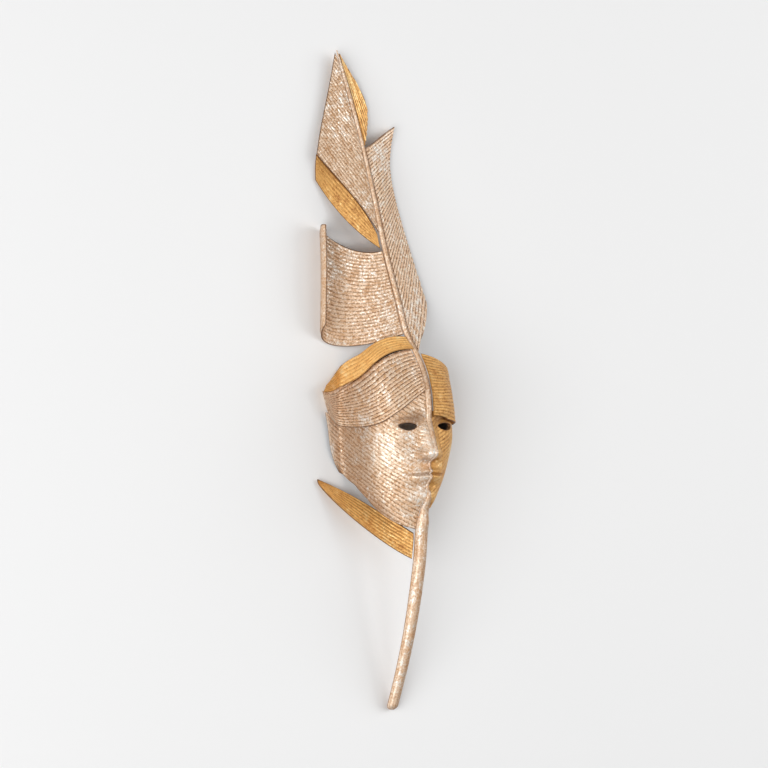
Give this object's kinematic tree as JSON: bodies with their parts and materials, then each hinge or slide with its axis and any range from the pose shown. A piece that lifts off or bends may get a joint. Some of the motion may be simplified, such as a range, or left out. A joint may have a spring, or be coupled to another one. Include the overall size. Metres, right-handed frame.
{
  "type": "venetian mask",
  "caption": "Venetian mask shaped as a tall feather: combed vanes curl off a curved shaft that runs over a calm moulded face and ends in a quill.",
  "frame": {"origin": "on the plane it lies on, under the middle of its box, the mask lying face up", "axes": "+Y up the feather to its tip, +Z out of the face, +X to the wearer's left, the viewer's right"},
  "size_m": [0.1962, 0.86, 0.1137],
  "materials": {
    "silver_leaf": "moulded papier-mache under rubbed silver leaf over a warm copper ground, satin",
    "gold_leaf": "moulded papier-mache under rubbed gold leaf over a brown ground, satin"
  },
  "bodies": {
    "root": {"face": "silver_leaf", "shaft": "silver_leaf", "brow_band": "silver_leaf", "curled_vane": "silver_leaf", "right_vane": "silver_leaf", "top_left_vane": "silver_leaf", "right_brow_panel": "gold_leaf", "crown_band": "gold_leaf", "jaw_vane": "gold_leaf", "lower_gold_slip": "gold_leaf", "top_right_vane": "gold_leaf"}
  },
  "joints": []
}
